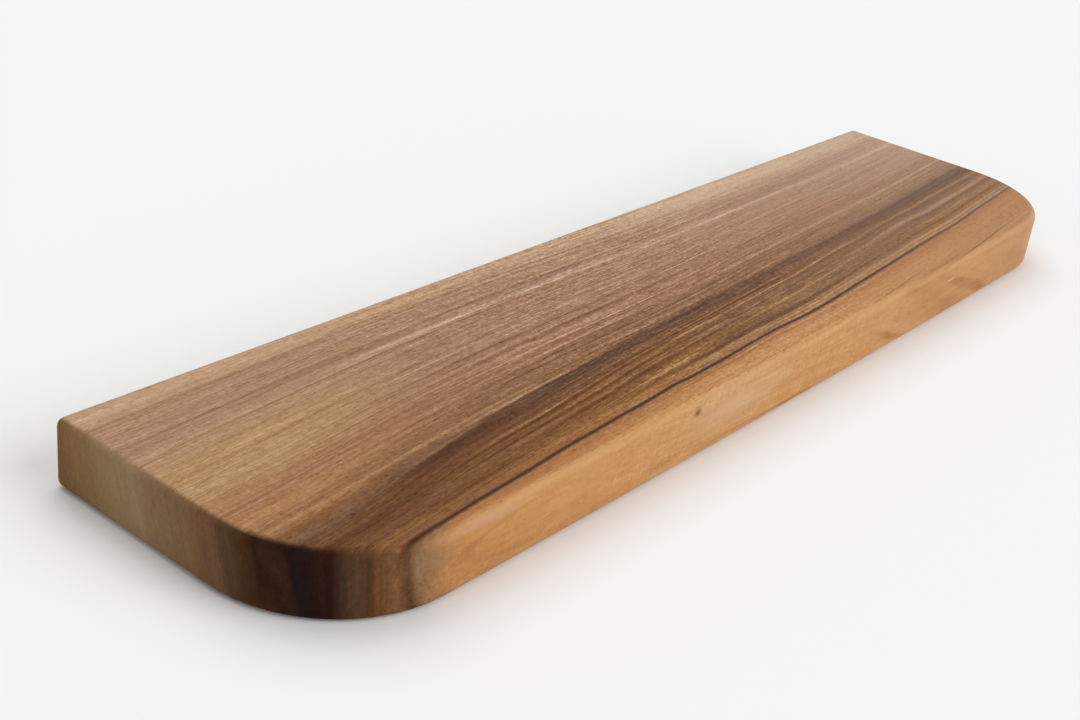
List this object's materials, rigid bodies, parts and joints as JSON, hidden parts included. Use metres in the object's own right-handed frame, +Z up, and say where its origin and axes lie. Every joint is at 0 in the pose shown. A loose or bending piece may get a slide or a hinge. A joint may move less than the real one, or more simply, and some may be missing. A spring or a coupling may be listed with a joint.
{
  "type": "floating wall shelf",
  "caption": "Solid walnut floating wall shelf with rounded front corners, carried on concealed steel rods that can be set up or down for levelling.",
  "frame": {"origin": "on the wall, at the centre of the board's back face, at half the board's thickness", "axes": "+X along the shelf to the right as seen from the room, +Y into the wall, +Z up"},
  "size_m": [0.8, 0.1999, 0.04],
  "materials": {
    "walnut": "oiled, satin",
    "zinc_plated_strip": "zinc plated, formed strip",
    "zinc_plated_fastener": "zinc plated",
    "bright_steel_bar": "turned from bright bar"
  },
  "bodies": {
    "wall_plates": {"left_support_plate": "zinc_plated_strip", "right_support_plate": "zinc_plated_strip"},
    "left_rod_set": {"left_clamp_bolt": "zinc_plated_fastener", "left_washer": "zinc_plated_fastener", "left_support_rod": "bright_steel_bar"},
    "right_rod_set": {"right_clamp_bolt": "zinc_plated_fastener", "right_washer": "zinc_plated_fastener", "right_support_rod": "bright_steel_bar"},
    "board": {"shelf_board": "walnut"}
  },
  "joints": [
    {"name": "left_height_adjust", "type": "slide", "parent": "wall_plates", "child": "left_rod_set", "axis": [0, 0, 1], "range_m": [-0.002, 0.002]},
    {"name": "right_height_adjust", "type": "slide", "parent": "wall_plates", "child": "right_rod_set", "axis": [0, 0, 1], "range_m": [-0.002, 0.002]},
    {"name": "board_pull_off", "type": "slide", "parent": "left_rod_set", "child": "board", "axis": [0, -1, 0], "range_m": [0, 0.119]}
  ],
  "couplings": [
    {"joint": "right_height_adjust", "follows": "left_height_adjust", "ratio": 1}
  ]
}
